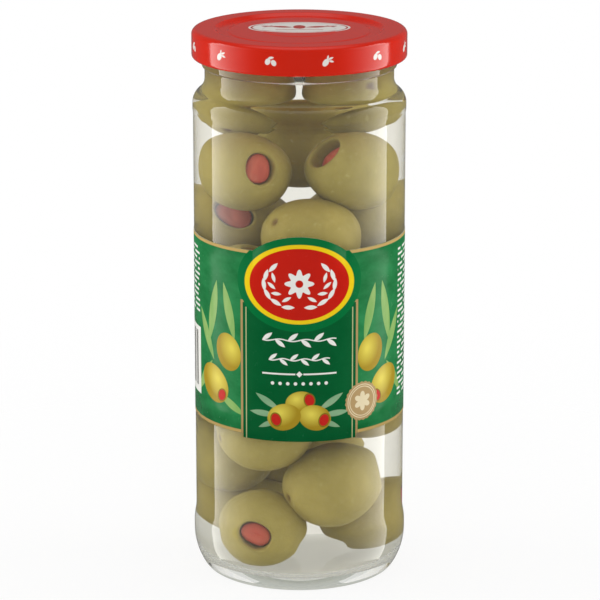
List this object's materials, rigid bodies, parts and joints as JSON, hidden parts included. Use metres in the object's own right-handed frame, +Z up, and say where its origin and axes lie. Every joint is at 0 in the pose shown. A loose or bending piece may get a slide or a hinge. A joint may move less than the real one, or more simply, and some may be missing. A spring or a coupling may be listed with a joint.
{
  "type": "jar of olives",
  "caption": "Tall round clear glass jar of stuffed green olives in brine, closed with a red metal screw cap and wrapped in a green paper label.",
  "frame": {"origin": "centre of the base, on the surface that the jar stands on", "axes": "+Z up along the jar's axis, the label's front faces -Y, +X to the right as seen from the front"},
  "size_m": [0.0622, 0.0622, 0.1605],
  "materials": {
    "clear_glass": "smooth clear flint glass",
    "red_enamel": "glossy red enamel on pressed tinplate, with small white printed sprigs",
    "label_paper": "printed semi-gloss green paper label with gold lines",
    "brine": "clear, very slightly yellow brine",
    "olive_skin": "wet green olive skin with fine pale flecks and red pimiento in the end"
  },
  "bodies": {
    "root": {"glass_jar": "clear_glass", "lid": "red_enamel", "label": "label_paper", "brine": "brine", "olives": "olive_skin"}
  },
  "joints": []
}
